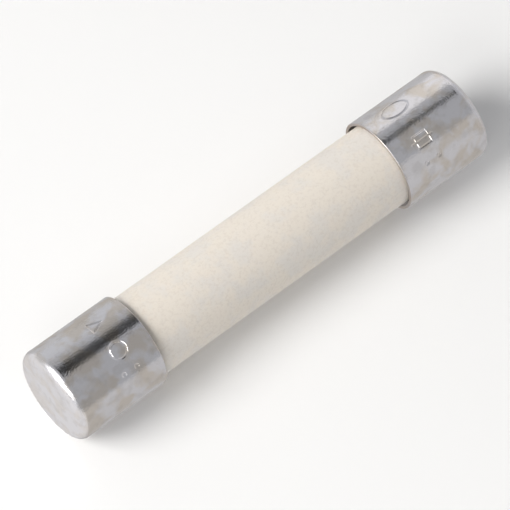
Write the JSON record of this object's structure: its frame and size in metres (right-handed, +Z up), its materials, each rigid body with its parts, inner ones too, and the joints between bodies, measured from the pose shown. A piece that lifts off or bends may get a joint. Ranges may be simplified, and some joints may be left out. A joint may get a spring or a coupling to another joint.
{
  "type": "cartridge fuse",
  "caption": "Ceramic-bodied cartridge fuse with drawn double end caps, soldered ends and a wound element packed in sand.",
  "frame": {"origin": "middle of the fuse body, on its axis", "axes": "+X along the fuse, from the left cap to the right cap; +Z up, away from the surface it lies on"},
  "size_m": [0.0322, 0.0064, 0.0064],
  "materials": {
    "nickel_plate": "satin",
    "tin_plate": "satin",
    "ceramic": "matte",
    "solder": "satin",
    "washer_fibre": "matte",
    "glass_yarn": "matte",
    "silvered_copper": "satin",
    "tin": "satin",
    "quartz_sand": "matte"
  },
  "bodies": {
    "root": {"ceramic_tube": "ceramic", "quartz_sand": "quartz_sand", "element_core": "glass_yarn", "fuse_wire": "silvered_copper", "tin_bead": "tin", "end_cap_left": "nickel_plate", "end_cap_right": "nickel_plate", "inner_cap_left": "tin_plate", "inner_cap_right": "tin_plate", "solder_left": "solder", "solder_right": "solder", "sand_washer_left": "washer_fibre", "sand_washer_right": "washer_fibre"}
  },
  "joints": []
}
